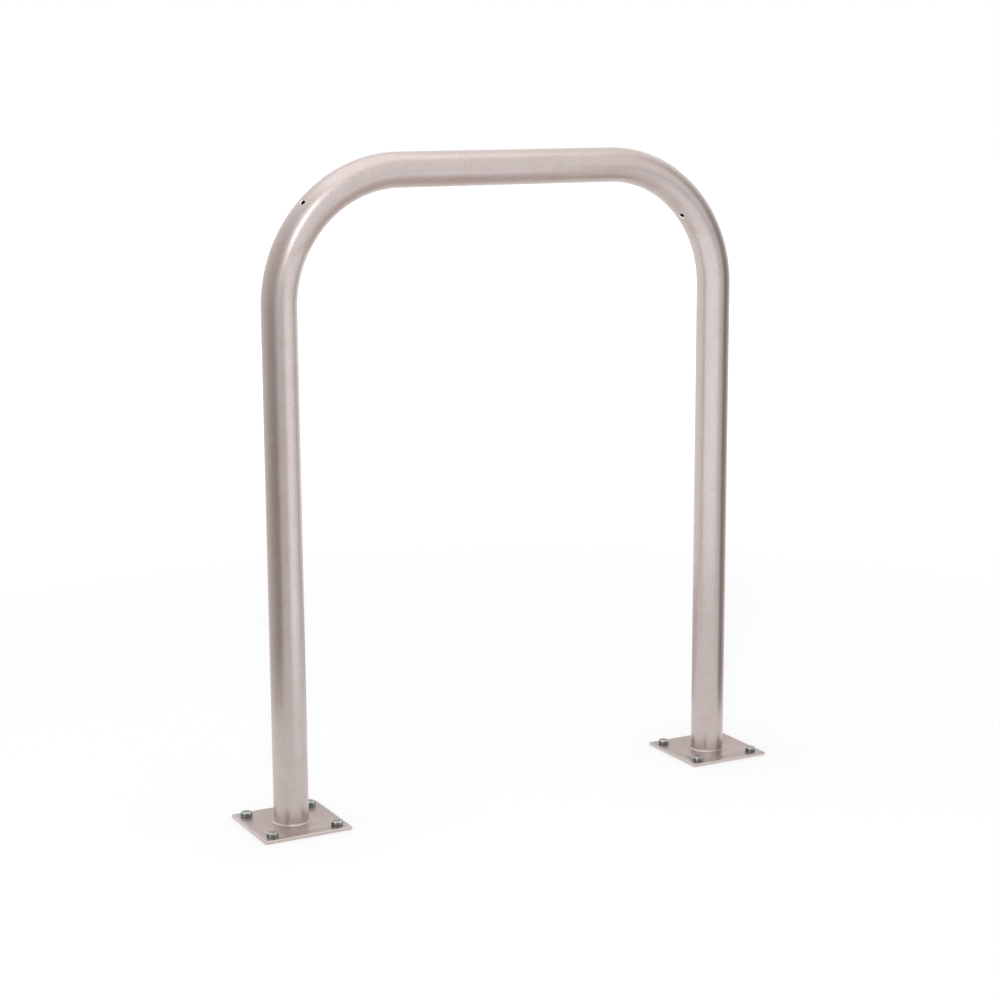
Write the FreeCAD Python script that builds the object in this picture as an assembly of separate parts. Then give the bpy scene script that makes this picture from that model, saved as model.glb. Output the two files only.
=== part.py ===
import FreeCAD, Part
import math
import os

# Hoop bike rack: one tube bent twice into a hoop, welded to two square foot plates,
# each held down by four hex bolts that screw into threaded anchors in the ground.
# Millimetres, +Z up. The origin is on the ground, midway between the feet.
# +X runs from the left foot to the right foot, and the hoop lies in the plane Y = 0.

# Hoop
TUBE_DIAMETER = 48.3
TUBE_WALL = 3.7
OVERALL_HEIGHT = 914.0
LEG_SPACING = 686.0
BEND_RADIUS = 178.0

# Vent holes, drilled right through the tube at each bend before galvanising
VENT_HOLE_DIAMETER = 6.5
LEFT_VENT_ALONG_DEG = 44.0
RIGHT_VENT_ALONG_DEG = 41.5
VENT_TURN_DEG = 20.0

# Foot plates
PLATE_SIDE = 127.0
PLATE_THICKNESS = 4.76
PLATE_CORNER_RADIUS = 1.0
PLATE_EDGE_BREAK = 0.5
BOLT_SPACING = 95.25
BOLT_HOLE_CLEARANCE = 1.6
DRAIN_HOLE_DIAMETER = 19.0

# Weld bead between each leg and its plate
WELD_LEG = 2.0
WELD_HOLLOW = 0.25

# Hex bolts
BOLT_DIAMETER = 9.525
HEAD_ACROSS_FLATS = 14.29
HEAD_HEIGHT = 6.1
HEAD_CHAMFER_DEG = 30.0
HEAD_TOP_FLAT_SHARE = 0.94
HEAD_TURN_DEG = -14.0
WASHER_FACE_HEIGHT = 0.4
WASHER_FACE_SHARE = 0.96
BOLT_TIP_CHAMFER = 1.2
THREAD_ENGAGEMENT = 16.0

# Threaded anchors, set a little below the ground's surface
ANCHOR_DIAMETER = 12.7
ANCHOR_SET_DEPTH = 3.2
ANCHOR_BORE_SPARE = 1.5
ANCHOR_SOLID_END = 26.0
ANCHOR_BORE_CLEARANCE = 0.2
ANCHOR_DRILL_POINT_DEG = 118.0
ANCHOR_MOUTH_CHAMFER = 0.5
ANCHOR_TIP_TAPER = 1.6
RIDGE_HEIGHT = 0.9
RIDGE_WIDTH = 2.2
RIDGE_CREST = 0.5
RIDGE_PITCH = 6.0
RIDGE_FIRST = 9.0

# Places that follow from the sizes above
TUBE_RADIUS = TUBE_DIAMETER / 2
TOP_CENTRE_Z = OVERALL_HEIGHT - TUBE_RADIUS
BEND_CENTRE_Z = TOP_CENTRE_Z - BEND_RADIUS
LEG_X = LEG_SPACING / 2
BEND_CENTRE_X = LEG_X - BEND_RADIUS
BOLT_HOLE_DIAMETER = BOLT_DIAMETER + BOLT_HOLE_CLEARANCE
BOLT_LENGTH = PLATE_THICKNESS + ANCHOR_SET_DEPTH + THREAD_ENGAGEMENT
HEAD_CORNER_RADIUS = HEAD_ACROSS_FLATS / 2 / math.cos(math.radians(30))
ANCHOR_BORE_DEPTH = THREAD_ENGAGEMENT + ANCHOR_BORE_SPARE
ANCHOR_LENGTH = ANCHOR_BORE_DEPTH + ANCHOR_SOLID_END

SIDES = {"left": -1, "right": 1}
CORNERS = {
    "front_left": (-1, -1),
    "front_right": (1, -1),
    "back_left": (-1, 1),
    "back_right": (1, 1),
}


def point(x, y, z):
    return FreeCAD.Vector(x, y, z)


def across(radius, degrees):
    """A point at this radius round the Z axis, turned from +X."""
    angle = math.radians(degrees)
    return point(radius * math.cos(angle), radius * math.sin(angle), 0)


def cylinder(radius, height, base, axis=point(0, 0, 1)):
    return Part.makeCylinder(radius, height, base, axis)


def turned(profile):
    """A solid of revolution about Z, from (radius, height) corners."""
    corners = [point(radius, 0, height) for radius, height in profile]
    face = Part.Face(Part.makePolygon(corners + corners[:1]))
    return face.revolve(point(0, 0, 0), point(0, 0, 1), 360)


def tube_ring(centre, direction):
    """The tube's cut end: a flat ring at the centre, facing along the direction."""
    outer = Part.Wire(Part.makeCircle(TUBE_RADIUS, centre, direction))
    inner = Part.Wire(Part.makeCircle(TUBE_RADIUS - TUBE_WALL, centre, direction))
    return Part.Face([outer, inner], "Part::FaceMakerBullseye")


def vent_drill(side):
    """A drill through one bend, turned a little out of the hoop's plane."""
    along = math.radians(LEFT_VENT_ALONG_DEG if side < 0 else RIGHT_VENT_ALONG_DEG)
    turn = math.radians(VENT_TURN_DEG)
    outward = point(side * math.cos(along), 0, math.sin(along))
    centre = point(side * BEND_CENTRE_X, 0, BEND_CENTRE_Z) + outward * BEND_RADIUS
    direction = outward * math.cos(turn) + point(0, side * math.sin(turn), 0)
    reach = TUBE_DIAMETER
    return cylinder(VENT_HOLE_DIAMETER / 2, 2 * reach, centre - direction * reach, direction)


def hoop_tube():
    """One tube: two upright legs, two quarter bends and the bar across the top."""
    up = point(0, 0, 1)
    sideways = point(1, 0, 0)
    top_bar = tube_ring(point(-BEND_CENTRE_X, 0, TOP_CENTRE_Z), sideways)
    tube = top_bar.extrude(sideways * (2 * BEND_CENTRE_X))
    for side in SIDES.values():
        leg = tube_ring(point(side * LEG_X, 0, PLATE_THICKNESS), up)
        bend = tube_ring(point(side * LEG_X, 0, BEND_CENTRE_Z), up)
        centre = point(side * BEND_CENTRE_X, 0, BEND_CENTRE_Z)
        tube = tube.fuse([
            leg.extrude(up * (BEND_CENTRE_Z - PLATE_THICKNESS)),
            bend.revolve(centre, point(0, -side, 0), 90),
        ])
    for side in SIDES.values():
        tube = tube.cut(vent_drill(side))
    return tube


def foot_plate(side):
    half = PLATE_SIDE / 2
    x = side * LEG_X
    plate = Part.makeBox(PLATE_SIDE, PLATE_SIDE, PLATE_THICKNESS, point(x - half, -half, 0))
    upright = [edge for edge in plate.Edges if abs(edge.tangentAt(edge.FirstParameter).z) > 0.9]
    plate = plate.makeFillet(PLATE_CORNER_RADIUS, upright)
    rim = [edge for edge in plate.Edges if edge.BoundBox.ZMin > PLATE_THICKNESS / 2]
    plate = plate.makeChamfer(PLATE_EDGE_BREAK, rim)
    holes = [(BOLT_HOLE_DIAMETER, *bolt_place(side, corner)) for corner in CORNERS.values()]
    holes.append((DRAIN_HOLE_DIAMETER, x, 0))
    for diameter, hole_x, hole_y in holes:
        plate = plate.cut(cylinder(diameter / 2, PLATE_THICKNESS, point(hole_x, hole_y, 0)))
    return plate


def weld_bead(side):
    """A fillet weld round the leg's foot, with a slightly hollow face."""
    inner = TUBE_RADIUS
    foot = point(inner, 0, 0)
    toe = point(inner + WELD_LEG, 0, 0)
    crown = point(inner, 0, WELD_LEG)
    dip = WELD_LEG / 2 - WELD_HOLLOW * math.sin(math.radians(45))
    waist = point(inner + dip, 0, dip)
    outline = Part.Wire([
        Part.LineSegment(foot, toe).toShape(),
        Part.Arc(toe, waist, crown).toShape(),
        Part.LineSegment(crown, foot).toShape(),
    ])
    bead = Part.Face(outline).revolve(point(0, 0, 0), point(0, 0, 1), 360)
    bead.translate(point(side * LEG_X, 0, PLATE_THICKNESS))
    return bead


def bolt_place(side, corner):
    """The middle of one bolt, from the foot's side and the corner's two signs."""
    return side * LEG_X + corner[0] * BOLT_SPACING / 2, corner[1] * BOLT_SPACING / 2


def hex_bolt():
    """A bolt with its head's underside at height 0 and its shank hanging below."""
    corners = [across(HEAD_CORNER_RADIUS, 60 * step + HEAD_TURN_DEG) for step in range(7)]
    prism = Part.Face(Part.makePolygon(corners)).extrude(point(0, 0, HEAD_HEIGHT))
    top_radius = HEAD_TOP_FLAT_SHARE * HEAD_ACROSS_FLATS / 2
    face_radius = WASHER_FACE_SHARE * HEAD_ACROSS_FLATS / 2
    slope = math.tan(math.radians(HEAD_CHAMFER_DEG))
    chamfer_z = HEAD_HEIGHT - (HEAD_CORNER_RADIUS - top_radius) * slope
    round_limit = turned([
        (0, 0),
        (face_radius, 0),
        (face_radius, WASHER_FACE_HEIGHT),
        (HEAD_CORNER_RADIUS, WASHER_FACE_HEIGHT),
        (HEAD_CORNER_RADIUS, chamfer_z),
        (top_radius, HEAD_HEIGHT),
        (0, HEAD_HEIGHT),
    ])
    shank_radius = BOLT_DIAMETER / 2
    shank = turned([
        (0, WASHER_FACE_HEIGHT),
        (0, -BOLT_LENGTH),
        (shank_radius - BOLT_TIP_CHAMFER, -BOLT_LENGTH),
        (shank_radius, BOLT_TIP_CHAMFER - BOLT_LENGTH),
        (shank_radius, WASHER_FACE_HEIGHT),
    ])
    return prism.common(round_limit).fuse(shank).removeSplitter()


def threaded_anchor():
    """An anchor with its mouth at height 0: a blind bore above a solid end, ridges outside."""
    outer = ANCHOR_DIAMETER / 2
    bore = (BOLT_DIAMETER + ANCHOR_BORE_CLEARANCE) / 2
    drill_point = bore / math.tan(math.radians(ANCHOR_DRILL_POINT_DEG / 2))
    profile = [
        (0, -ANCHOR_BORE_DEPTH - drill_point),
        (bore, -ANCHOR_BORE_DEPTH),
        (bore, -ANCHOR_MOUTH_CHAMFER),
        (bore + ANCHOR_MOUTH_CHAMFER, 0),
        (outer, 0),
    ]
    room = ANCHOR_LENGTH - ANCHOR_TIP_TAPER - RIDGE_WIDTH / 2 - RIDGE_FIRST
    for ridge in range(int(room // RIDGE_PITCH) + 1):
        middle = -RIDGE_FIRST - ridge * RIDGE_PITCH
        profile += [
            (outer, middle + RIDGE_WIDTH / 2),
            (outer + RIDGE_HEIGHT, middle + RIDGE_CREST / 2),
            (outer + RIDGE_HEIGHT, middle - RIDGE_CREST / 2),
            (outer, middle - RIDGE_WIDTH / 2),
        ]
    profile += [
        (outer, ANCHOR_TIP_TAPER - ANCHOR_LENGTH),
        (outer - ANCHOR_TIP_TAPER, -ANCHOR_LENGTH),
        (0, -ANCHOR_LENGTH),
    ]
    return turned(profile)


def all_nodes():
    nodes = {"hoop_tube": hoop_tube()}
    bolt = hex_bolt()
    anchor = threaded_anchor()
    for side_name, side in SIDES.items():
        nodes[f"{side_name}_foot_plate"] = foot_plate(side)
        nodes[f"{side_name}_weld_bead"] = weld_bead(side)
        for corner_name, corner in CORNERS.items():
            x, y = bolt_place(side, corner)
            name = f"{side_name}_foot_{corner_name}"
            nodes[f"{name}_bolt"] = bolt.translated(point(x, y, PLATE_THICKNESS))
            nodes[f"{name}_anchor"] = anchor.translated(point(x, y, -ANCHOR_SET_DEPTH))
    return nodes


os.makedirs("parts", exist_ok=True)
for name, shape in all_nodes().items():
    box = shape.optimalBoundingBox()
    print(f"{name}: {len(shape.Solids)} solid, valid {shape.isValid()}, {shape.Volume:.1f} mm3, "
          f"z {box.ZMin:.2f} to {box.ZMax:.2f}")
    shape.exportStep(f"parts/{name}.step")
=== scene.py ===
"""Hoop bike rack: a tube bent twice, welded to two foot plates that are bolted to the ground.

Metres, +Z up. The origin is on the ground, midway between the feet. The hoop lies in the plane
Y = 0, and the front is towards -Y. Each piece stands where the frame's own piece of its kind is.
"""

import math
from contextlib import contextmanager

import bmesh
import bpy
from bpy.props import FloatProperty, FloatVectorProperty, IntProperty, PointerProperty
from mathutils import Matrix, Vector


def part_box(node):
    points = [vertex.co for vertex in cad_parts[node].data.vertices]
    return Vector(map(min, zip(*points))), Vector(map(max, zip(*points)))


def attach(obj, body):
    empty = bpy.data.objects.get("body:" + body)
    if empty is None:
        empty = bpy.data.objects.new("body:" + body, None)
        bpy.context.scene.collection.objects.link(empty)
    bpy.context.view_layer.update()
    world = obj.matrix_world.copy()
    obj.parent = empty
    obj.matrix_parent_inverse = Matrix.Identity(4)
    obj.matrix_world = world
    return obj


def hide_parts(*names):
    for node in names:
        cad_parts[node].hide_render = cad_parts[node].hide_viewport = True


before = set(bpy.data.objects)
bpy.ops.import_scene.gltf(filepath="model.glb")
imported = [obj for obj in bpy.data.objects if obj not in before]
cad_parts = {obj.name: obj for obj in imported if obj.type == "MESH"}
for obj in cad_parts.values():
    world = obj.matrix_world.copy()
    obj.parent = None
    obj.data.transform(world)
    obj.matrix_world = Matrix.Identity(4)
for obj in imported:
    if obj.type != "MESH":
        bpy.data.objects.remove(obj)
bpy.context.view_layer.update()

bl_info = {
    "name": "Hoop Bike Rack",
    "version": (1, 0, 0),
    "blender": (4, 5, 0),
    "location": "View3D > Sidebar > Bike Rack",
    "description": "Builds a bolted hoop bike rack from separate finished pieces",
    "category": "Add Mesh",
}

BODY = "root"
SIDES = {"left": -1, "right": 1}
CORNERS = ("front_left", "front_right", "back_left", "back_right")

# A difference this small is none, points this close are one, slivers this short are merged
# after the last cut, and a face of the tube this shallow is on its outer skin
TINY = 0.00001
SAME_POINT = 0.000001
CUT_SLIVER = 0.000002
SKIN_DEPTH = 0.00008

# Marks that faces carry for the finishes to read
# Rubbed edges, lightened further as a painted highlight on the plates' rims and the bolt heads'
# edges
WORN_AND_HIGHLIT = "edge_wear"
# The tube's inside, painted near black as painted shade
INNER_SHADE = "bare_steel"
# The vents' filed rims, real bare edges painted near white as a painted glint
FILED = "filed_edge"
# Upright faces, which the bolts' finish darkens as painted shade on the heads' sides
UPRIGHT = "upright_face"

# Height of a face's normal: below the first it is upright, above the second it is level
UPRIGHT_LIMIT = 0.1
LEVEL_LIMIT = 0.98

# Steps along the tube's stretches
LEG_STEPS = 24
BEND_STEPS = 48
BAR_STEPS = 12

# Sides of the round tools and of the threaded rods
DRILL_SIDES = 64
LIMIT_SIDES = 64
HEAD_SIDES = 96
BORE_SIDES = 96
THREAD_SIDES = 40
RIDGE_SIDES = 48

# The weld's free face: points down it, divisions of each ripple, and how many the middle trails by
WELD_FACE_POINTS = 8
RIPPLE_DIVISIONS = 6
RIPPLE_LAG = 2.4

# Tints of the light, and the darker side of the studio
COOL = (0.96, 1.0, 1.04)
WARM = (1.0, 0.84, 0.77)
BACK_TINT = (1.0, 0.93, 0.91)
DIM_FRONT = (-0.39, -0.92, 0)

# The world's light and how much more gloss sees of it, less towards the dim front. 1 is white
PLAIN_LIGHT = 0.82
GLOSS_LIFT = 0.28
FRONT_DIM = 0.25

# The floor's paint, its own glow for the camera beside the rack, what that gains far off, and
# how bright gloss sees it, less towards the dim front
FLOOR_PAINT = (0.8, 0.8, 0.8)
FLOOR_GLOW = 0.26
FLOOR_FAR_GAIN = 0.3
FLOOR_GLOSS = 1.08
FLOOR_FRONT_DIM = 0.35

# Lamps, with their face's brightness, where 1 is white
LAMPS = {
    "overhead_lamp": {
        "place": (-0.11, 0.1, 2.3), "aim": (0.2, 0.3, 0),
        "size": (1.96, 1.77), "brightness": 0.47, "tint": COOL,
    },
    "strip_lamp": {
        "place": (-1.11, -2.0, 1.96), "aim": (-0.3, 0, 0.8),
        "size": (0.2, 1.25), "brightness": 9, "tint": COOL,
    },
}

# Cards: turns are the tilt from lying flat and the turn about Z, in degrees, and fades are the
# shares of the size over which the left, right, lower and upper edges fade in
CARDS = {
    "bright_card": {
        "place": (0.065, -0.314, 0.52), "turns": (90, -34), "size": (1.0, 1.037),
        "fades": (0.015, 0.08, 0.32, 0.37), "brightness": 1.3, "tint": COOL,
    },
    "left_dark_card": {
        "place": (-0.55, -0.164, 0.82), "turns": (90, 60), "size": (0.874, 1.49),
        "fades": (0.72, 0.47, 0.1, 0.75), "brightness": 0.26, "tint": WARM,
    },
    "right_dark_card": {
        "place": (0.55, -0.028, 0.75), "turns": (90, 60), "size": (0.377, 1.5),
        "fades": (0.22, 0.8, 0.03, 0.56), "brightness": 0.17, "tint": WARM,
    },
    "bar_flag": {
        "place": (-0.05, -0.053, 0.788), "turns": (0, 0), "size": (0.95, 0.3),
        "fades": (0.53, 0.53, 0.53, 0.53), "brightness": 0.65, "tint": WARM,
    },
    "low_back_card": {
        "place": (0.275, 0.27, 0.13), "turns": (90, 0), "size": (1.35, 0.26),
        "fades": (0.09, 0.15, 0.02, 0.5), "brightness": 0.73, "tint": BACK_TINT,
    },
}


def frame_size(node):
    """The node's length along each axis, to a hundredth of a millimetre."""
    low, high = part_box(node)
    return Vector(round(value, 5) for value in high - low)


def frame_middle(node):
    low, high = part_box(node)
    return Vector(round(value, 5) for value in (low + high) / 2)


def frame_top(node):
    return round(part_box(node)[1].z, 5)


def frame_bottom(node):
    return round(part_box(node)[0].z, 5)


def bolt_node(side, corner):
    return f"{side}_foot_{corner}_bolt"


def anchor_node(side, corner):
    return f"{side}_foot_{corner}_anchor"


def length_property(name, description, default):
    return FloatProperty(
        name=name, description=description, default=default, min=0.0, precision=5, unit="LENGTH"
    )


def angle_property(name, description, degrees):
    return FloatProperty(
        name=name, description=description, default=math.radians(degrees), subtype="ANGLE"
    )


def share_property(name, description, default):
    return FloatProperty(
        name=name, description=description, default=default, min=0.0, max=1.0, subtype="FACTOR"
    )


def colour_property(name, description, default):
    return FloatVectorProperty(
        name=name, description=description, default=default, min=0.0, max=1.0, size=3,
        subtype="COLOR",
    )


class HoopSizes(bpy.types.PropertyGroup):
    """Sizes of the bent tube and its vent holes"""

    tube_diameter: length_property(
        "Tube diameter", "Outside diameter of the tube", frame_size("hoop_tube").y
    )
    tube_wall: length_property("Tube wall", "Thickness of the tube's wall", 0.0037)
    bend_radius: length_property("Bend radius", "Radius of each bend's centreline", 0.178)
    sides_round: IntProperty(
        name="Sides round", description="Faces round the tube", default=96, min=12
    )
    vent_diameter: length_property("Vent diameter", "Diameter of each vent hole", 0.0065)
    left_vent_along: angle_property("Left vent", "Place of the left vent along its bend", 44)
    right_vent_along: angle_property("Right vent", "Place of the right vent along its bend", 41.5)
    vent_turn: angle_property("Vent turn", "Turn of the vents out of the hoop's plane", 20)
    vent_break: length_property("Vent edge break", "Depth of the vents' filed edges", 0.001)


class PlateSizes(bpy.types.PropertyGroup):
    """Sizes of the foot plates"""

    side: length_property("Side", "Side of the square plate", frame_size("left_foot_plate").x)
    thickness: length_property(
        "Thickness", "Thickness of the plate", frame_size("left_foot_plate").z
    )
    corner_radius: length_property("Corner radius", "Radius of the plate's corners", 0.001)
    edge_round: length_property("Edge rounding", "Rounding of the plate's rims", 0.00045)
    hole_diameter: length_property("Hole diameter", "Diameter of the bolt holes", 0.011125)
    drain_diameter: length_property("Drain diameter", "Diameter of the drain hole", 0.019)


class WeldSizes(bpy.types.PropertyGroup):
    """Sizes of the weld bead round each foot"""

    leg: length_property("Leg", "Height and width of the bead", frame_size("left_weld_bead").z)
    hollow: length_property("Hollow", "Depth of the bead's hollow face", 0.00025)
    ripples: IntProperty(
        name="Ripples", description="Ripples round the bead", default=72, min=8
    )
    ripple_height: length_property("Ripple height", "Height of each ripple", 0.00012)


class BoltSizes(bpy.types.PropertyGroup):
    """Sizes of the hex bolts"""

    diameter: length_property("Diameter", "Diameter over the thread", 0.009525)
    pitch: length_property("Pitch", "Pitch of the thread", 0.0015875)
    across_flats: length_property("Across flats", "Width of the head across its flats", 0.01429)
    head_turn: angle_property("Head turn", "Turn of the head's first corner from +X", -14)
    head_chamfer: angle_property("Head chamfer", "Slope of the head's round chamfer", 30)
    top_share: share_property("Top share", "Flat top's diameter over the width", 0.94)
    washer_height: length_property("Washer face height", "Height of the washer face", 0.0004)
    washer_share: share_property("Washer face share", "Its diameter over the width", 0.96)
    tip_chamfer: length_property("Tip chamfer", "Chamfer at the bolt's tip", 0.0012)
    edge_round: length_property("Edge rounding", "Rounding of the head's edges", 0.0003)
    corner_round: length_property("Corner rounding", "Rounding of its six corners", 0.0005)


class AnchorSizes(bpy.types.PropertyGroup):
    """Sizes of the threaded anchors in the ground"""

    diameter: length_property("Diameter", "Diameter of the anchor's body", 0.0127)
    bore_depth: length_property("Bore depth", "Depth of the bolt's bore", 0.0175)
    bore_clearance: length_property("Bore clearance", "Room round the bolt's thread", 0.0002)
    drill_point: angle_property("Drill point", "Angle of the bore's cone", 118)
    mouth_chamfer: length_property("Mouth chamfer", "Chamfer at the bore's mouth", 0.0005)
    tip_taper: length_property("Tip taper", "Taper at the anchor's tip", 0.0016)
    ridge_height: length_property("Ridge height", "Height of the outside ridge", 0.0009)
    ridge_width: length_property("Ridge width", "Width of the ridge at its foot", 0.0022)
    ridge_crest: length_property("Ridge crest", "Width of the ridge's crest", 0.0005)
    ridge_pitch: length_property("Ridge pitch", "Distance between the ridge's turns", 0.006)
    ridge_first: length_property("First ridge", "Depth of the ridge's first turn", 0.009)


class FinishColours(bpy.types.PropertyGroup):
    """Colours of the finishes"""

    coat: colour_property("Silver coat", "Colour of the tube and plates", (0.562, 0.487, 0.465))
    coat_warm: colour_property("Warm patches", "Colour of its warmer mottle", (0.53, 0.445, 0.412))
    # Also the painted highlight on the plates' rims, and the coat's pale flakes
    coat_pale: colour_property("Worn edges", "Colour of its rubbed edges", (0.72, 0.65, 0.62))
    # Near black: painted shade inside the tube, seen through the vents
    bare_steel: colour_property("Bare steel", "Colour inside the tube", (0.05, 0.047, 0.044))
    # Near white: the vents' filed rims with a painted glint
    filed_rim_glint: colour_property("Filed steel", "Colour of the vents' rims", (0.93, 0.91, 0.9))
    zinc: colour_property("Zinc", "Colour of the bolts", (0.43, 0.455, 0.45))
    zinc_dark: colour_property("Zinc shade", "Colour of their dark patches", (0.3, 0.325, 0.32))
    # Painted shade on the bolt heads' upright sides
    zinc_side_shade: colour_property("Zinc sides", "Colour of their heads' sides", (0.1, 0.11, 0.1))
    # Worn edges of the bolt heads, brightened as a painted highlight
    zinc_worn_edge_highlight: colour_property("Zinc edges", "Colour of their worn edges", (0.82, 0.86, 0.84))
    anchor: colour_property("Anchor zinc", "Colour of the anchors", (0.42, 0.4, 0.34))


class StageSizes(bpy.types.PropertyGroup):
    """The floor, the lamps and the camera"""

    floor_reach: length_property("Floor reach", "Half of the floor's side", 20.0)
    lens: FloatProperty(name="Lens", description="Focal length in millimetres", default=76.4646)
    sensor: FloatProperty(name="Sensor", description="Its width in millimetres", default=36)
    camera_place: FloatVectorProperty(
        name="Camera place", description="Where the camera stands", size=3, subtype="XYZ",
        default=(-1.407773, -2.603503, 0.994685), unit="LENGTH",
    )
    camera_turn: FloatVectorProperty(
        name="Camera turn", description="Its tilt, roll and turn", size=3, subtype="EULER",
        default=(math.radians(79.0648), math.radians(-0.2765), math.radians(-28.1658)),
    )


class RackSettings(bpy.types.PropertyGroup):
    """All that a user would change on the rack and its stage"""

    hoop: PointerProperty(type=HoopSizes)
    plate: PointerProperty(type=PlateSizes)
    weld: PointerProperty(type=WeldSizes)
    bolt: PointerProperty(type=BoltSizes)
    anchor: PointerProperty(type=AnchorSizes)
    colours: PointerProperty(type=FinishColours)
    stage: PointerProperty(type=StageSizes)


# Work at the mesh bench


def clear_selection():
    if bpy.context.mode != "OBJECT":
        bpy.ops.object.mode_set(mode="OBJECT")
    bpy.ops.object.select_all(action="DESELECT")


def pick(piece):
    clear_selection()
    piece.select_set(True)
    bpy.context.view_layer.objects.active = piece


@contextmanager
def editing(piece, kind="VERT"):
    """Edit mode on one piece, with all of it selected at first."""
    pick(piece)
    bpy.ops.object.mode_set(mode="EDIT")
    bpy.ops.mesh.select_mode(type=kind)
    bpy.ops.mesh.select_all(action="SELECT")
    yield
    bpy.ops.object.mode_set(mode="OBJECT")


def select_where(piece, kind, test):
    """In edit mode, selects only the verts, edges or faces that pass the test."""
    bpy.ops.mesh.select_all(action="DESELECT")
    mesh = bmesh.from_edit_mesh(piece.data)
    for element in getattr(mesh, kind):
        if test(element):
            element.select_set(True)
    mesh.select_flush(True)
    bmesh.update_edit_mesh(piece.data)


def settle(piece):
    """Puts the piece's place, turn and scale into its mesh."""
    pick(piece)
    bpy.ops.object.transform_apply(location=True, rotation=True, scale=True)


def add_circle(name, sides, radius, centre, filled=False):
    clear_selection()
    fill = "NGON" if filled else "NOTHING"
    bpy.ops.mesh.primitive_circle_add(
        vertices=sides, radius=radius, location=centre, fill_type=fill
    )
    piece = bpy.context.object
    piece.name = name
    piece.data.name = name
    settle(piece)
    return piece


def extrude(step):
    bpy.ops.mesh.extrude_region_move(TRANSFORM_OT_translate={"value": step})


def extrude_run(run, steps):
    """Extrudes what is selected along a straight run, in equal steps."""
    for _ in range(steps):
        extrude(Vector(run) / steps)


def tidy_shell(piece, within=SAME_POINT):
    """Merges points that lie this close together and turns all faces outwards."""
    with editing(piece):
        bpy.ops.mesh.remove_doubles(threshold=within)
        bpy.ops.mesh.normals_make_consistent(inside=False)


def turned(name, profile, sides, ring=False):
    """A turned solid about Z from (radius, height) pairs, from one end to the other.

    A ring's profile goes once round its cross-section, and the ring is closed on itself.
    """
    (radius, height), *others = profile
    piece = add_circle(name, sides, radius, (0, 0, height), filled=not ring)
    with editing(piece):
        for next_radius, next_height in others:
            extrude((0, 0, next_height - height))
            if next_radius < TINY:
                bpy.ops.mesh.merge(type="CENTER")
                break
            scale = next_radius / radius
            bpy.ops.transform.resize(value=(scale, scale, 1), center_override=(0, 0, next_height))
            radius, height = next_radius, next_height
    tidy_shell(piece)
    return piece


def threaded_rod(name, profile, pitch, low, high, sides):
    """A rod with a helical thread about Z, cut flat at both heights.

    The profile is one turn of the thread, as (radius, height) pairs that span the pitch.
    """
    turns = math.ceil((high - low) / pitch) + 2
    (radius, height), *others = profile
    piece = add_circle(name, 3, radius, (0, 0, low - pitch + height))
    outward = piece.data.vertices[0].co.copy()
    outward.z = 0
    outward.normalize()
    with editing(piece):
        select_where(piece, "verts", lambda vert: vert.index > 0)
        bpy.ops.mesh.delete(type="VERT")
        bpy.ops.mesh.select_all(action="SELECT")
        for next_radius, next_height in others:
            extrude(outward * (next_radius - radius) + Vector((0, 0, next_height - height)))
            radius, height = next_radius, next_height
    apply_modifier(
        piece, "SCREW", axis="Z", angle=math.tau, screw_offset=pitch, iterations=turns,
        steps=sides, render_steps=sides, use_smooth_shade=False,
    )
    with editing(piece):
        bpy.ops.mesh.remove_doubles(threshold=SAME_POINT)
    for level, away in ((high, 1), (low, -1)):
        with editing(piece):
            bpy.ops.mesh.bisect(
                plane_co=(0, 0, level), plane_no=(0, 0, away), use_fill=True, clear_outer=True
            )
    with editing(piece):
        bpy.ops.mesh.normals_make_consistent(inside=False)
    split_faces(piece)
    return piece


def apply_modifier(piece, kind, **settings):
    modifier = piece.modifiers.new(kind.lower(), kind)
    for key, value in settings.items():
        setattr(modifier, key, value)
    pick(piece)
    bpy.ops.object.modifier_apply(modifier=modifier.name)


def combine(piece, tool, operation):
    """Cuts, joins or trims the piece with the tool, which is used up."""
    apply_modifier(piece, "BOOLEAN", object=tool, operation=operation, solver="EXACT")
    tool_mesh = tool.data
    bpy.data.objects.remove(tool)
    bpy.data.meshes.remove(tool_mesh)


def round_edges(piece, width, sharper_than, segments=2):
    apply_modifier(
        piece, "BEVEL", width=width, segments=segments, limit_method="ANGLE",
        angle_limit=math.radians(sharper_than), use_clamp_overlap=True, harden_normals=False,
    )


def split_faces(piece):
    """Splits all faces into triangles. With whole ones the threaded pieces weren't always closed."""
    apply_modifier(piece, "TRIANGULATE", quad_method="BEAUTY", ngon_method="BEAUTY")


def shade(piece, degrees):
    pick(piece)
    bpy.ops.object.shade_smooth_by_angle(angle=math.radians(degrees))


def mark_faces(piece, name, test):
    """Writes 1 on the faces that pass the test and 0 on the others, for the finish to read."""
    marks = piece.data.attributes.new(name, "FLOAT", "FACE")
    for face in piece.data.polygons:
        marks.data[face.index].value = float(test(face))


def is_sloping(face):
    return UPRIGHT_LIMIT < abs(face.normal.z) < LEVEL_LIMIT


def is_narrow(piece, face, widest):
    """True for a face whose area is less than its longest edge times this width."""
    corners = [piece.data.vertices[index].co for index in face.vertices]
    longest = max((a - b).length for a, b in zip(corners, corners[1:] + corners[:1]))
    return face.area < widest * longest


def copy_to(piece, name, place):
    """A copy with its own mesh, its place in the mesh."""
    clear_selection()
    copy = bpy.data.objects.new(name, piece.data.copy())
    copy.data.name = name
    bpy.context.collection.objects.link(copy)
    copy.location = place
    settle(copy)
    return copy


def hand_over(piece, node, finish):
    """The finished piece stands for the frame's node and moves with it."""
    piece.data.materials.clear()
    piece.data.materials.append(finish)
    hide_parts(node)
    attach(piece, BODY)


def drop(piece):
    mesh = piece.data
    bpy.data.objects.remove(piece)
    bpy.data.meshes.remove(mesh)


# The pieces


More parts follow.
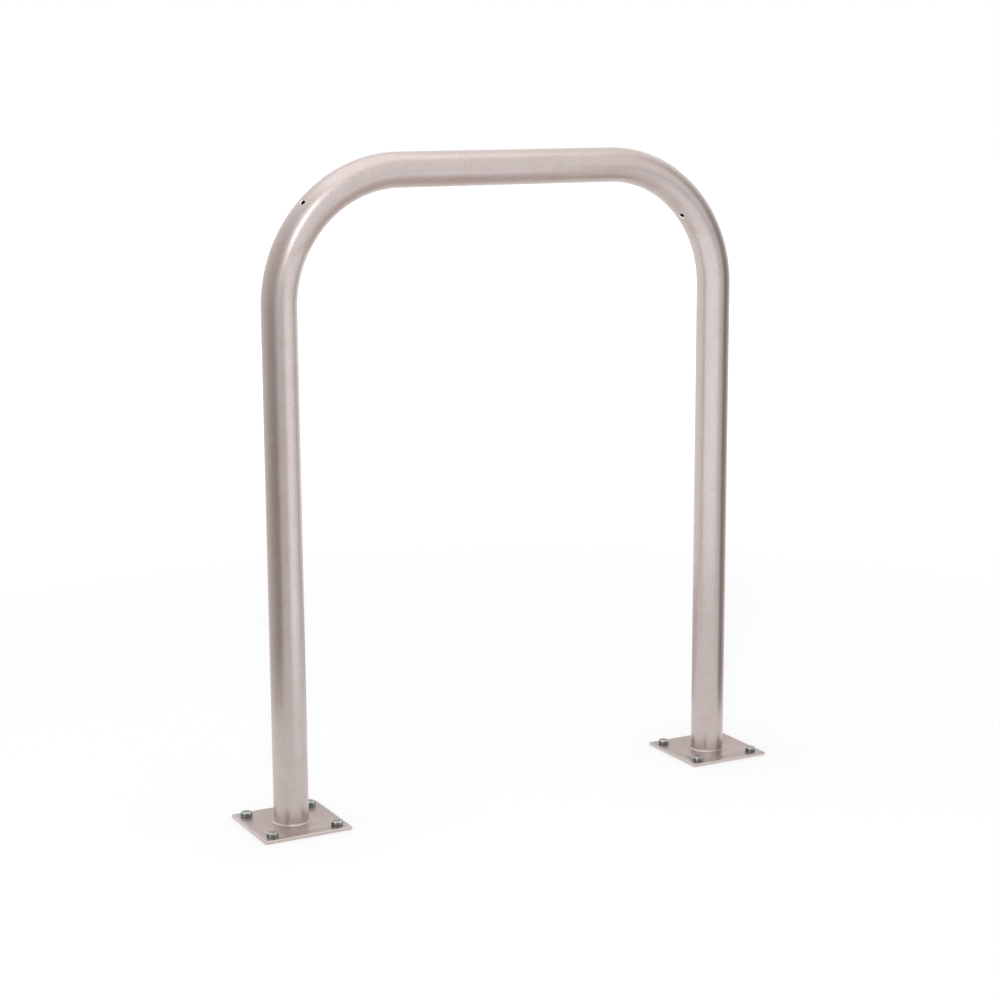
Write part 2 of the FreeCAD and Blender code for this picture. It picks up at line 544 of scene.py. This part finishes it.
class Centreline:
    """The line along the middle of the tube: legs at +-leg_x, bends about (+-bend_x, bend_z)."""

    def __init__(self, sizes):
        self.radius = sizes.tube_diameter / 2
        self.bend = sizes.bend_radius
        self.foot_z = frame_bottom("hoop_tube")
        self.top_z = frame_top("hoop_tube") - self.radius
        self.bend_z = self.top_z - self.bend
        self.leg_x = frame_size("hoop_tube").x / 2 - self.radius
        self.bend_x = self.leg_x - self.bend

    def depth_of(self, point):
        """How deep a point lies under the tube's outer skin."""
        across = max(abs(point.x) - self.bend_x, 0)
        above = max(point.z - self.bend_z, 0)
        if across and above:
            in_plane = math.hypot(across, above) - self.bend
        elif above:
            in_plane = point.z - self.top_z
        else:
            in_plane = abs(point.x) - self.leg_x
        return self.radius - math.hypot(in_plane, point.y)


def bend_tube(sizes, line):
    """The tube, swept from the left foot over both bends to the right foot."""
    tube = add_circle("bent_hoop", sizes.sides_round, line.radius, (-line.leg_x, 0, line.foot_z))
    with editing(tube):
        extrude_run((0, 0, line.bend_z - line.foot_z), LEG_STEPS)
        bend_end(-line.bend_x, line.bend_z)
        extrude_run((2 * line.bend_x, 0, 0), BAR_STEPS)
        bend_end(line.bend_x, line.bend_z)
        extrude_run((0, 0, line.foot_z - line.bend_z), LEG_STEPS)
    tidy_shell(tube)
    apply_modifier(
        tube, "SOLIDIFY", thickness=sizes.tube_wall, offset=-1.0, use_even_offset=True,
        use_rim=True,
    )
    return tube


def bend_end(centre_x, centre_z):
    """Turns the selected end of the tube a quarter round, to the right and over."""
    bpy.ops.mesh.spin(
        steps=BEND_STEPS, angle=math.radians(-90), center=(centre_x, 0, centre_z), axis=(0, 1, 0)
    )


def vent_drill(sizes, line, side):
    """A drill right through one bend that also breaks the edges of both holes."""
    hole = sizes.vent_diameter / 2
    past = 0.001
    crown = line.radius - sizes.vent_break
    end = line.radius + past
    wide = hole + sizes.vent_break + past
    profile = [(wide, -end), (hole, -crown), (hole, crown), (wide, end)]
    drill = turned("vent_drill", profile, DRILL_SIDES)
    along = sizes.left_vent_along if side < 0 else sizes.right_vent_along
    turn = sizes.vent_turn
    outward = Vector((side * math.cos(along), 0, math.sin(along)))
    centre = Vector((side * line.bend_x, 0, line.bend_z))
    direction = outward * math.cos(turn) + Vector((0, side * math.sin(turn), 0))
    drill.rotation_euler = direction.to_track_quat("Z", "Y").to_euler()
    drill.location = centre + outward * line.bend
    settle(drill)
    return drill


def cut_plate(sizes):
    """One foot plate about the origin, with its bolt holes and its drain hole."""
    clear_selection()
    bpy.ops.mesh.primitive_cube_add(size=1, location=(0, 0, sizes.thickness / 2))
    plate = bpy.context.object
    plate.name = "plate_blank"
    plate.scale = (sizes.side, sizes.side, sizes.thickness)
    settle(plate)
    with editing(plate, "EDGE"):
        select_where(plate, "edges", is_upright)
        bpy.ops.mesh.bevel(offset=sizes.corner_radius, segments=5, affect="EDGES")
    drain = add_drill(sizes.drain_diameter / 2, sizes.thickness, (0, 0))
    combine(plate, drain, "DIFFERENCE")
    offset = frame_middle(bolt_node("left", "front_left")) - frame_middle("left_foot_plate")
    for x in (-offset.x, offset.x):
        for y in (-offset.y, offset.y):
            hole = add_drill(sizes.hole_diameter / 2, sizes.thickness, (x, y))
            combine(plate, hole, "DIFFERENCE")
    round_edges(plate, sizes.edge_round, sharper_than=40, segments=3)
    return plate


def is_upright(edge):
    lower, upper = (vert.co for vert in edge.verts)
    return abs(upper.z - lower.z) > TINY


def add_drill(radius, depth, place):
    """An upright drill that runs this depth past both faces of a plate as thick."""
    drill = add_circle("drill", DRILL_SIDES, radius, (*place, -depth), filled=True)
    with editing(drill):
        extrude((0, 0, 3 * depth))
    tidy_shell(drill)
    return drill


def lay_weld(sizes, tube_radius):
    """One ring of weld about the origin, with a hollow face and a ripple for each dab."""
    leg = sizes.leg
    profile = [(tube_radius, leg)]
    for step in range(1, WELD_FACE_POINTS):
        share = step / WELD_FACE_POINTS
        dip = sizes.hollow * math.sin(math.pi * share) / math.sqrt(2)
        profile.append((tube_radius + leg * share - dip, leg * (1 - share) - dip))
    profile += [(tube_radius + leg, 0), (tube_radius, 0), (tube_radius, leg)]
    weld = turned("weld_bead", profile, RIPPLE_DIVISIONS * sizes.ripples, ring=True)
    for division in range(1, RIPPLE_DIVISIONS):
        height = sizes.ripple_height * math.sin(math.pi * division / RIPPLE_DIVISIONS)
        with editing(weld):
            select_where(
                weld, "verts", lambda vert: division_at(vert.co, sizes, tube_radius) == division
            )
            bpy.ops.transform.shrink_fatten(value=height)
    return weld


def division_at(point, sizes, tube_radius):
    """The division of its ripple that a point of the bead's free face is on, or 0 elsewhere."""
    if math.hypot(point.x, point.y) < tube_radius + TINY or point.z < TINY:
        return 0
    turn = math.atan2(point.y, point.x) / math.tau % 1
    lag = RIPPLE_LAG * math.sin(math.pi * point.z / sizes.leg)
    return round(turn * RIPPLE_DIVISIONS * sizes.ripples + lag) % RIPPLE_DIVISIONS


def forge_bolt(sizes, length):
    """One hex bolt about the origin, its head's underside at height 0."""
    flat_radius = sizes.across_flats / 2
    corner_radius = flat_radius / math.cos(math.radians(30))
    head_height = frame_top(bolt_node("left", "front_left")) - frame_top("left_foot_plate")
    head = add_circle("hex_bolt", 6, corner_radius, (0, 0, 0), filled=True)
    # A new circle has its first corner towards +Y
    first_corner = math.radians(90)
    head.rotation_euler.z = sizes.head_turn - first_corner
    settle(head)
    with editing(head):
        extrude((0, 0, head_height))
    tidy_shell(head)
    with editing(head, "EDGE"):
        select_where(head, "edges", is_upright)
        bpy.ops.mesh.bevel(offset=sizes.corner_round, segments=3, affect="EDGES")
    top_radius = sizes.top_share * flat_radius
    face_radius = sizes.washer_share * flat_radius
    chamfer_z = head_height - (corner_radius - top_radius) * math.tan(sizes.head_chamfer)
    wide = corner_radius + sizes.washer_height
    wide_z = chamfer_z - sizes.washer_height * math.tan(sizes.head_chamfer)
    limit = turned("head_limit", [
        (face_radius, 0),
        (face_radius, sizes.washer_height),
        (wide, sizes.washer_height),
        (wide, wide_z),
        (top_radius, head_height),
    ], HEAD_SIDES)
    combine(head, limit, "INTERSECT")
    round_edges(head, sizes.edge_round, sharper_than=25)
    combine(head, cut_thread(sizes, length), "UNION")
    tidy_shell(head, within=CUT_SLIVER)
    return head


def is_worn_or_highlit_head(bolt, face, sizes):
    """True for the chamfer, the rounded edges and the rounded corners of the bolt's head."""
    on_head = face.center.z > sizes.washer_height
    return on_head and (is_sloping(face) or is_narrow(bolt, face, sizes.corner_round))


def cut_thread(sizes, length):
    """The bolt's threaded shank, pointed at its tip."""
    radius = sizes.diameter / 2
    pitch = sizes.pitch
    depth = 0.56 * pitch
    root = radius - depth
    crest_width = pitch / 8
    root_width = pitch / 4
    flank = (pitch - crest_width - root_width) / 2
    thread = [
        (root, 0),
        (root, root_width),
        (radius, root_width + flank),
        (radius, root_width + flank + crest_width),
        (root, pitch),
    ]
    overlap = sizes.washer_height
    rod = threaded_rod("shank", thread, pitch, -length - overlap, 2 * overlap, THREAD_SIDES)
    limit = turned("shank_limit", [
        (radius - sizes.tip_chamfer, -length),
        (radius + overlap, -length + sizes.tip_chamfer + overlap),
        (radius + overlap, overlap),
    ], LIMIT_SIDES)
    split_faces(limit)
    combine(rod, limit, "INTERSECT")
    return rod


def make_anchor(sizes, bolt_radius, length):
    """One anchor about the origin, its mouth at height 0."""
    radius = sizes.diameter / 2
    crest = radius + sizes.ridge_height
    ramp = (sizes.ridge_width - sizes.ridge_crest) / 2
    foot = sizes.ridge_pitch - sizes.ridge_width
    ridge = [
        (radius, 0),
        (radius, foot),
        (crest, foot + ramp),
        (crest, foot + ramp + sizes.ridge_crest),
        (radius, sizes.ridge_pitch),
    ]
    past = sizes.mouth_chamfer
    low = -length - past
    anchor = threaded_rod("screw_anchor", ridge, sizes.ridge_pitch, low, past, RIDGE_SIDES)
    start = sizes.ridge_width / 2 - sizes.ridge_first
    # The neck is trimmed just inside the rod's wall, because walls that coincide leave open edges
    neck = 0.99 * radius
    reach = crest + past - radius
    limit = turned("anchor_limit", [
        (radius - sizes.tip_taper, -length),
        (radius + reach, -length + sizes.tip_taper + reach),
        (radius + reach, start - reach),
        (neck, start),
        (neck, 0),
    ], LIMIT_SIDES)
    split_faces(limit)
    combine(anchor, limit, "INTERSECT")
    bore = bolt_radius + sizes.bore_clearance / 2
    point = bore / math.tan(sizes.drill_point / 2)
    drill = turned("anchor_drill", [
        (bore + sizes.mouth_chamfer + past, past),
        (bore, -sizes.mouth_chamfer),
        (bore, -sizes.bore_depth),
        (0, -sizes.bore_depth - point),
    ], BORE_SIDES)
    combine(anchor, drill, "DIFFERENCE")
    tidy_shell(anchor, within=CUT_SLIVER)
    return anchor


# Finishes


class Reading:
    """A value that changes over a surface, with arithmetic that adds the nodes for it."""

    def __init__(self, graph, socket):
        self.graph = graph
        self.socket = socket

    def _with(self, operation, first, second):
        return self.graph.node("ShaderNodeMath", {"operation": operation}, {0: first, 1: second})

    def __add__(self, other):
        return self._with("ADD", self, other)

    def __radd__(self, other):
        return self._with("ADD", other, self)

    def __sub__(self, other):
        return self._with("SUBTRACT", self, other)

    def __rsub__(self, other):
        return self._with("SUBTRACT", other, self)

    def __mul__(self, other):
        return self._with("MULTIPLY", self, other)

    def __rmul__(self, other):
        return self._with("MULTIPLY", other, self)


class Graph:
    """A node tree that is written as expressions."""

    def __init__(self, tree):
        self.tree = tree
        tree.nodes.clear()

    def node(self, kind, settings, values, output=0):
        """Adds a node: its settings first, then the values or links of its sockets."""
        made = self.tree.nodes.new(kind)
        for key, value in settings.items():
            setattr(made, key, value)
        for key, value in values.items():
            if isinstance(value, Reading):
                self.tree.links.new(value.socket, made.inputs[key])
            else:
                made.inputs[key].default_value = value
        if not made.outputs:
            return made
        return Reading(self, made.outputs[output])

    def noise(self, place, scale, detail=2.0, roughness=0.5):
        """Cloudy noise from 0 to 1, with patches about 1 / scale metres across."""
        values = {"Vector": place, "Scale": scale, "Detail": detail, "Roughness": roughness}
        return self.node("ShaderNodeTexNoise", {}, values)

    def between(self, low, high, reading):
        """A smooth step: 0 below low, 1 above high."""
        settings = {"interpolation_type": "SMOOTHSTEP"}
        values = {"Value": reading, "From Min": low, "From Max": high}
        return self.node("ShaderNodeMapRange", settings, values)

    def blend(self, share, first, second):
        """A colour between two, by a share from 0 to 1. Sockets 6 and 7 are the Mix's colours."""
        values = {0: share, 6: solid(first), 7: solid(second)}
        return self.node("ShaderNodeMix", {"data_type": "RGBA"}, values, 2)

    def scaled(self, colour, share):
        """A colour made darker or lighter by a share about 1."""
        values = {0: colour, "Scale": share}
        return self.node("ShaderNodeVectorMath", {"operation": "SCALE"}, values)

    def glow(self, strength, colour=(1, 1, 1)):
        """Light of its own, where a strength of 1 is white."""
        values = {"Color": solid(colour), "Strength": strength}
        return self.node("ShaderNodeEmission", {}, values)

    def bump(self, height, distance, under=None):
        """Small relief, as a normal: height 1 stands this distance in metres above height 0."""
        values = {"Strength": 1.0, "Distance": distance, "Height": height}
        if under is not None:
            values["Normal"] = under
        return self.node("ShaderNodeBump", {}, values)


def solid(colour):
    return colour if isinstance(colour, Reading) else (*colour, 1.0)


class Finish(Graph):
    """A material, written as expressions."""

    def __init__(self, name):
        self.material = bpy.data.materials.new(name)
        self.material.use_nodes = True
        super().__init__(self.material.node_tree)

    def place(self):
        """Where a point is on the piece."""
        return self.node("ShaderNodeTexCoord", {}, {}, "Object")

    def mark(self, name):
        """The 0 or 1 that mark_faces wrote on each face."""
        settings = {"attribute_type": "GEOMETRY", "attribute_name": name}
        return self.node("ShaderNodeAttribute", settings, {}, "Fac")

    def surface(self, **values):
        """Ends the material: the shader's sockets, with _ for a space in their names."""
        named = {key.replace("_", " "): value for key, value in values.items()}
        shader = self.node("ShaderNodeBsdfPrincipled", {}, named)
        self.node("ShaderNodeOutputMaterial", {}, {"Surface": shader})
        return self.material


def silver_coat(colours):
    """A satin silver coat with fine metal grain, a soft warm mottle and rubbed edges with a painted
    highlight.
    """
    finish = Finish("satin_silver_finish")
    place = finish.place()
    patches = finish.noise(place, scale=38, detail=3.0, roughness=0.55)
    mottle = finish.noise(place, scale=330, detail=3.0, roughness=0.6)
    grain = finish.noise(place, scale=1900, detail=2.0, roughness=0.75)
    warm = finish.between(0.35, 0.75, patches)
    colour = finish.blend(warm * 0.7, colours.coat, colours.coat_warm)
    colour = finish.scaled(colour, 0.81 + mottle * 0.38)
    flake = finish.between(0.54, 0.68, grain)
    colour = finish.blend(flake * 0.42, colour, colours.coat_pale)
    # Rubbed edges, lightened towards the pale colour as a painted highlight
    wear_and_highlight = finish.mark(WORN_AND_HIGHLIT) * finish.between(0.3, 0.6, mottle * 0.5 + patches * 0.5)
    colour = finish.blend(wear_and_highlight, colour, colours.coat_pale)
    # Painted shade: the tube's inside near black
    colour = finish.blend(finish.mark(INNER_SHADE), colour, colours.bare_steel)
    # Painted glint: the vents' filed rims near white
    colour = finish.blend(finish.mark(FILED), colour, colours.filed_rim_glint)
    skin = finish.bump(mottle, distance=0.00004)
    return finish.surface(
        Base_Color=colour,
        Metallic=0.88,
        Roughness=0.265 + mottle * 0.05 + grain * 0.06 - wear_and_highlight * 0.05,
        Normal=finish.bump(grain, distance=0.000012, under=skin),
    )


def zinc_plate(colours):
    """Bright zinc on a forged bolt: cloudy grey-green, painted shade on its head's sides, and worn
    edges lit as a painted highlight.
    """
    finish = Finish("bright_zinc_finish")
    place = finish.place()
    clouds = finish.noise(place, scale=420, detail=3.0, roughness=0.6)
    pits = finish.noise(place, scale=2600, detail=2.0)
    colour = finish.blend(finish.between(0.38, 0.66, clouds), colours.zinc, colours.zinc_dark)
    # Painted shade: the head's upright sides darkened
    colour = finish.blend(finish.mark(UPRIGHT) * 0.75, colour, colours.zinc_side_shade)
    # Worn edges, lightened as a painted highlight
    wear_and_highlight = finish.mark(WORN_AND_HIGHLIT) * finish.between(0.25, 0.5, clouds)
    colour = finish.blend(wear_and_highlight * 0.9, colour, colours.zinc_worn_edge_highlight)
    skin = finish.bump(clouds, distance=0.00002)
    return finish.surface(
        Base_Color=colour,
        Metallic=1.0,
        Roughness=0.24 + clouds * 0.12 + pits * 0.05,
        Normal=finish.bump(pits, distance=0.000004, under=skin),
    )


def anchor_zinc(colours):
    """Dull yellowish zinc on the anchors, with the gritty look of a plated cast body."""
    finish = Finish("dull_zinc_finish")
    place = finish.place()
    clouds = finish.noise(place, scale=180, detail=3.0)
    grit = finish.noise(place, scale=1500, detail=2.0)
    darker = [0.72 * value for value in colours.anchor]
    colour = finish.blend(finish.between(0.35, 0.7, clouds), colours.anchor, darker)
    return finish.surface(
        Base_Color=colour,
        Metallic=0.95,
        Roughness=0.38 + grit * 0.14,
        Normal=finish.bump(grit, distance=0.00001),
    )


# The stage


def towards(graph, side, place, low, high):
    """How far a place or a direction lies towards one side of the studio, from 0 to 1."""
    dot = {"operation": "DOT_PRODUCT"}
    return graph.between(low, high, graph.node("ShaderNodeVectorMath", dot, {0: place, 1: side}, 1))


def white_floor(reach):
    """A pale floor that keeps the rack's soft shadow, and is white to the camera."""
    clear_selection()
    bpy.ops.mesh.primitive_grid_add(x_subdivisions=2, y_subdivisions=2, size=2 * reach)
    floor = bpy.context.object
    floor.name = "floor"
    graph = Finish("floor_white")
    place = graph.place()
    camera = graph.node("ShaderNodeLightPath", {}, {}, "Is Camera Ray")
    gloss = graph.node("ShaderNodeLightPath", {}, {}, "Is Glossy Ray")
    paint = graph.node("ShaderNodeBsdfDiffuse", {}, {"Color": solid(FLOOR_PAINT)})
    from_middle = graph.node("ShaderNodeVectorMath", {"operation": "LENGTH"}, {0: place}, 1)
    far = graph.between(low=1.0, high=4.0, reading=from_middle)
    glow = graph.glow(camera * (FLOOR_GLOW + far * FLOOR_FAR_GAIN))
    seen = graph.node("ShaderNodeAddShader", {}, {0: paint, 1: glow})
    front = towards(graph, DIM_FRONT, place, low=-0.57, high=1.43)
    mirrored = graph.glow(FLOOR_GLOSS - front * FLOOR_FRONT_DIM)
    both = graph.node("ShaderNodeMixShader", {}, {0: gloss, 1: seen, 2: mirrored})
    graph.node("ShaderNodeOutputMaterial", {}, {"Surface": both})
    floor.data.materials.append(graph.material)
    graph.material.cycles.emission_sampling = "NONE"


def studio_air():
    """White all round for the camera, brighter for gloss, and a plain soft light for the rest."""
    world = bpy.data.worlds.new("studio")
    world.use_nodes = True
    world.cycles.sampling_method = "NONE"
    bpy.context.scene.world = world
    graph = Graph(world.node_tree)
    camera = graph.node("ShaderNodeLightPath", {}, {}, "Is Camera Ray")
    gloss = graph.node("ShaderNodeLightPath", {}, {}, "Is Glossy Ray")
    way = graph.node("ShaderNodeTexCoord", {}, {}, "Generated")
    front = towards(graph, DIM_FRONT, way, low=0.6, high=1.05)
    for_camera = camera * (1 - PLAIN_LIGHT)
    for_gloss = gloss * (GLOSS_LIFT - front * FRONT_DIM)
    strength = PLAIN_LIGHT + for_camera + for_gloss
    white = solid((1, 1, 1))
    sky = graph.node("ShaderNodeBackground", {}, {"Color": white, "Strength": strength})
    graph.node("ShaderNodeOutputWorld", {}, {"Surface": sky})


def add_lamp(name, place, aim, size, brightness, tint):
    """A soft lamp: its face is this bright, where 1 is white, and the camera doesn't see it."""
    lamp = bpy.data.lights.new(name, "AREA")
    lamp.shape = "RECTANGLE"
    lamp.size, lamp.size_y = size
    lamp.energy = brightness * math.pi * size[0] * size[1]
    lamp.color = tint
    holder = bpy.data.objects.new(name, lamp)
    bpy.context.collection.objects.link(holder)
    holder.location = place
    holder.rotation_euler = (Vector(aim) - Vector(place)).to_track_quat("-Z", "Y").to_euler()
    holder.visible_camera = False


def add_card(name, place, turns, size, fades, brightness, tint):
    """A studio card that only gloss sees, with edges that fade in."""
    clear_selection()
    bpy.ops.mesh.primitive_plane_add(size=1)
    card = bpy.context.object
    card.name = name
    tilt, turn = turns
    card.scale = (*size, 1)
    card.rotation_euler = (math.radians(tilt), 0, math.radians(turn))
    card.location = place
    settle(card)
    graph = Finish(name)
    spot = graph.node("ShaderNodeTexCoord", {}, {}, "UV")
    across = graph.node("ShaderNodeSeparateXYZ", {}, {0: spot}, "X")
    upward = graph.node("ShaderNodeSeparateXYZ", {}, {0: spot}, "Y")
    left, right, lower, upper = fades
    shown = graph.between(0, left, across) * graph.between(0, right, 1 - across)
    shown = shown * graph.between(0, lower, upward) * graph.between(0, upper, 1 - upward)
    clear = graph.node("ShaderNodeBsdfTransparent", {}, {})
    glow = graph.glow(brightness, tint)
    both = graph.node("ShaderNodeMixShader", {}, {0: shown, 1: clear, 2: glow})
    graph.node("ShaderNodeOutputMaterial", {}, {"Surface": both})
    card.data.materials.append(graph.material)
    graph.material.cycles.emission_sampling = "NONE"
    card.visible_camera = False
    card.visible_diffuse = False
    card.visible_transmission = False
    card.visible_shadow = False


def place_camera(stage):
    """The photo's view of the rack."""
    view = bpy.data.cameras.new("photo_view")
    view.lens = stage.lens
    view.sensor_width = stage.sensor
    camera = bpy.data.objects.new("photo_view", view)
    bpy.context.collection.objects.link(camera)
    tilt, roll, turn = stage.camera_turn
    camera.matrix_world = (
        Matrix.Translation(stage.camera_place)
        @ Matrix.Rotation(turn, 4, "Z")
        @ Matrix.Rotation(tilt, 4, "X")
        @ Matrix.Rotation(roll, 4, "Z")
    )
    bpy.context.scene.camera = camera


# The operators


def rack_settings():
    return bpy.context.scene.bike_rack


def material(name, make):
    """The named finish, made on its first use."""
    return bpy.data.materials.get(name) or make(rack_settings().colours)


class RACK_OT_hoop(bpy.types.Operator):
    """Bends the tube into a hoop and drills a vent through each bend"""

    bl_idname = "bike_rack.hoop"
    bl_label = "Bend the Hoop"

    def execute(self, context):
        sizes = rack_settings().hoop
        line = Centreline(sizes)
        tube = bend_tube(sizes, line)
        for side in SIDES.values():
            combine(tube, vent_drill(sizes, line, side), "DIFFERENCE")
        filed = 0.9 * sizes.vent_break
        mark_faces(tube, FILED, lambda face: SKIN_DEPTH < line.depth_of(face.center) < filed)
        mark_faces(tube, INNER_SHADE, lambda face: line.depth_of(face.center) >= filed)
        shade(tube, 30)
        hand_over(tube, "hoop_tube", material("satin_silver_finish", silver_coat))
        return {"FINISHED"}


class RACK_OT_foot_plates(bpy.types.Operator):
    """Cuts the foot plates with their bolt holes and drain holes"""

    bl_idname = "bike_rack.foot_plates"
    bl_label = "Cut the Foot Plates"

    def execute(self, context):
        sizes = rack_settings().plate
        blank = cut_plate(sizes)
        mark_faces(blank, WORN_AND_HIGHLIT, is_sloping)
        shade(blank, 35)
        for side in SIDES:
            node = f"{side}_foot_plate"
            place = frame_middle(node)
            place.z = frame_bottom(node)
            plate = copy_to(blank, f"{side}_base_plate", place)
            hand_over(plate, node, material("satin_silver_finish", silver_coat))
        drop(blank)
        return {"FINISHED"}


class RACK_OT_welds(bpy.types.Operator):
    """Lays a rippled weld round the foot of each leg"""

    bl_idname = "bike_rack.welds"
    bl_label = "Weld the Feet"

    def execute(self, context):
        ring = lay_weld(rack_settings().weld, rack_settings().hoop.tube_diameter / 2)
        shade(ring, 60)
        for side in SIDES:
            node = f"{side}_weld_bead"
            place = frame_middle(node)
            place.z = frame_bottom(node)
            weld = copy_to(ring, f"{side}_foot_weld", place)
            hand_over(weld, node, material("satin_silver_finish", silver_coat))
        drop(ring)
        return {"FINISHED"}


class RACK_OT_bolts(bpy.types.Operator):
    """Sets a hex bolt in each corner of both plates"""

    bl_idname = "bike_rack.bolts"
    bl_label = "Set the Bolts"

    def execute(self, context):
        plate_top = frame_top("left_foot_plate")
        length = plate_top - frame_bottom(bolt_node("left", "front_left"))
        sizes = rack_settings().bolt
        pattern = forge_bolt(sizes, length)
        mark_faces(pattern, WORN_AND_HIGHLIT, lambda face: is_worn_or_highlit_head(pattern, face, sizes))
        mark_faces(pattern, UPRIGHT, lambda face: abs(face.normal.z) < UPRIGHT_LIMIT)
        split_faces(pattern)
        shade(pattern, 35)
        for side in SIDES:
            for corner in CORNERS:
                node = bolt_node(side, corner)
                place = frame_middle(anchor_node(side, corner))
                place.z = plate_top
                bolt = copy_to(pattern, f"{side}_{corner}_hex_bolt", place)
                hand_over(bolt, node, material("bright_zinc_finish", zinc_plate))
        drop(pattern)
        return {"FINISHED"}


class RACK_OT_anchors(bpy.types.Operator):
    """Sinks a threaded anchor in the ground under each bolt"""

    bl_idname = "bike_rack.anchors"
    bl_label = "Sink the Anchors"

    def execute(self, context):
        first = anchor_node("left", "front_left")
        length = frame_top(first) - frame_bottom(first)
        rack = rack_settings()
        pattern = make_anchor(rack.anchor, rack.bolt.diameter / 2, length)
        split_faces(pattern)
        shade(pattern, 35)
        for side in SIDES:
            for corner in CORNERS:
                node = anchor_node(side, corner)
                place = frame_middle(node)
                place.z = frame_top(node)
                anchor = copy_to(pattern, f"{side}_{corner}_screw_anchor", place)
                hand_over(anchor, node, material("dull_zinc_finish", anchor_zinc))
        drop(pattern)
        return {"FINISHED"}


class RACK_OT_stage(bpy.types.Operator):
    """Lays the floor, sets the lamps and cards, and places the camera"""

    bl_idname = "bike_rack.stage"
    bl_label = "Set the Stage"

    def execute(self, context):
        stage = rack_settings().stage
        white_floor(stage.floor_reach)
        studio_air()
        for name, lamp in LAMPS.items():
            add_lamp(name, **lamp)
        for name, card in CARDS.items():
            add_card(name, **card)
        place_camera(stage)
        bpy.context.scene.view_settings.view_transform = "Standard"
        return {"FINISHED"}


class RACK_PT_tools(bpy.types.Panel):
    """Lists the rack's sizes and the steps that build it"""

    bl_label = "Bike Rack"
    bl_idname = "RACK_PT_tools"
    bl_space_type = "VIEW_3D"
    bl_region_type = "UI"
    bl_category = "Bike Rack"

    def draw(self, context):
        for operator in OPERATORS:
            self.layout.operator(operator.bl_idname)
        rack = context.scene.bike_rack
        sizes = (rack.hoop, rack.plate, rack.weld, rack.bolt, rack.anchor)
        for group in (*sizes, rack.colours, rack.stage):
            box = self.layout.box()
            for name in group.bl_rna.properties.keys():
                if name not in ("rna_type", "name"):
                    box.prop(group, name)


GROUPS = (
    HoopSizes, PlateSizes, WeldSizes, BoltSizes, AnchorSizes, FinishColours, StageSizes,
    RackSettings,
)
OPERATORS = (
    RACK_OT_hoop, RACK_OT_foot_plates, RACK_OT_welds, RACK_OT_bolts, RACK_OT_anchors,
    RACK_OT_stage,
)


def register():
    for group in (*GROUPS, *OPERATORS, RACK_PT_tools):
        bpy.utils.register_class(group)
    bpy.types.Scene.bike_rack = PointerProperty(type=RackSettings)


def unregister():
    del bpy.types.Scene.bike_rack
    for group in reversed((*GROUPS, *OPERATORS, RACK_PT_tools)):
        bpy.utils.unregister_class(group)


def main():
    register()
    bpy.ops.bike_rack.hoop()
    bpy.ops.bike_rack.foot_plates()
    bpy.ops.bike_rack.welds()
    bpy.ops.bike_rack.bolts()
    bpy.ops.bike_rack.anchors()
    bpy.ops.bike_rack.stage()
    clear_selection()


if __name__ == "__main__":
    main()
